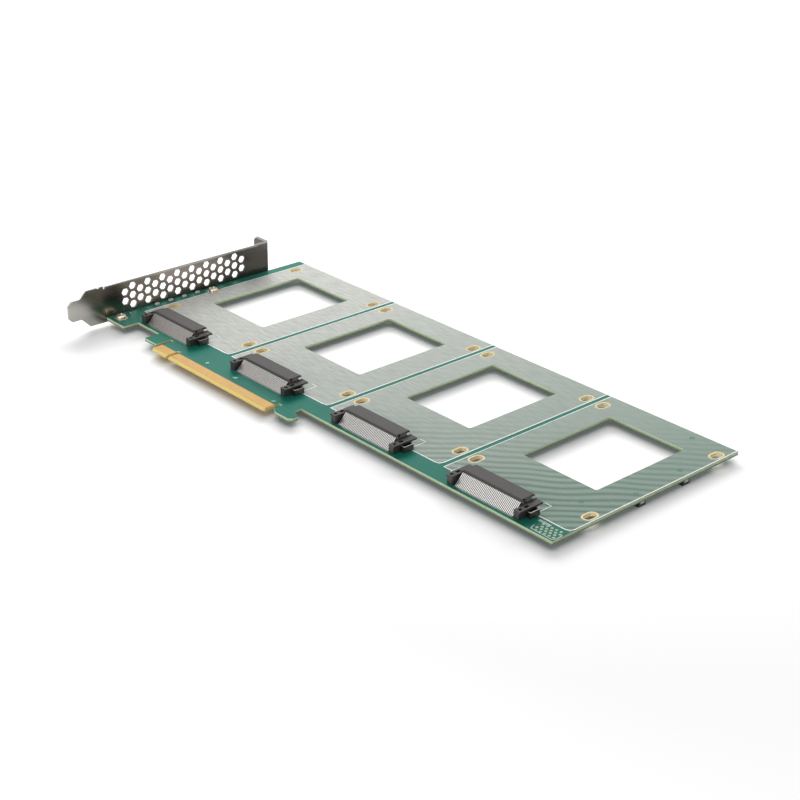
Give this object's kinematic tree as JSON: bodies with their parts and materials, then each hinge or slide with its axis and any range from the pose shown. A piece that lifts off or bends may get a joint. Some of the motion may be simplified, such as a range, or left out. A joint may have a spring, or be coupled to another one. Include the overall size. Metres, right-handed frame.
{
  "type": "drive adapter card",
  "caption": "Long slot card with a vented bracket, a keyed edge connector with a hook, and flat bays with a window and a low receptacle for 2.5 inch drives.",
  "frame": {"origin": "centre of the card's bounding box, at the height that the card rests on", "axes": "+X along the card away from the bracket, +Y from the edge connector to the far long edge, +Z out of the component side"},
  "size_m": [0.2996, 0.14, 0.0202],
  "materials": {
    "board": "green solder mask over glass laminate",
    "gold": "gold over nickel on copper",
    "bracket": "bright nickel plate on steel sheet",
    "screw": "nickel plated steel",
    "housing": "black moulded plastic",
    "contact": "tin plated copper alloy",
    "hold_down": "tin plated steel",
    "lamp": "white lamp body",
    "dark_part": "dark moulded package"
  },
  "bodies": {
    "root": {"bracket_screws": "screw", "circuit_board": "board", "clock_chip": "dark_part", "drive_receptacle_1": "housing", "drive_receptacle_2": "housing", "drive_receptacle_3": "housing", "drive_receptacle_4": "housing", "edge_contacts_component_side": "gold", "edge_contacts_solder_side": "gold", "io_bracket": "bracket", "load_switches": "dark_part", "memory_chip": "dark_part", "power_capacitors": "dark_part", "power_inductors": "dark_part", "receptacle_contacts_1": "contact", "receptacle_contacts_2": "contact", "receptacle_contacts_3": "contact", "receptacle_contacts_4": "contact", "receptacle_hold_downs_1": "hold_down", "receptacle_hold_downs_2": "hold_down", "receptacle_hold_downs_3": "hold_down", "receptacle_hold_downs_4": "hold_down", "status_lamps": "lamp", "voltage_regulators": "dark_part"}
  },
  "joints": []
}
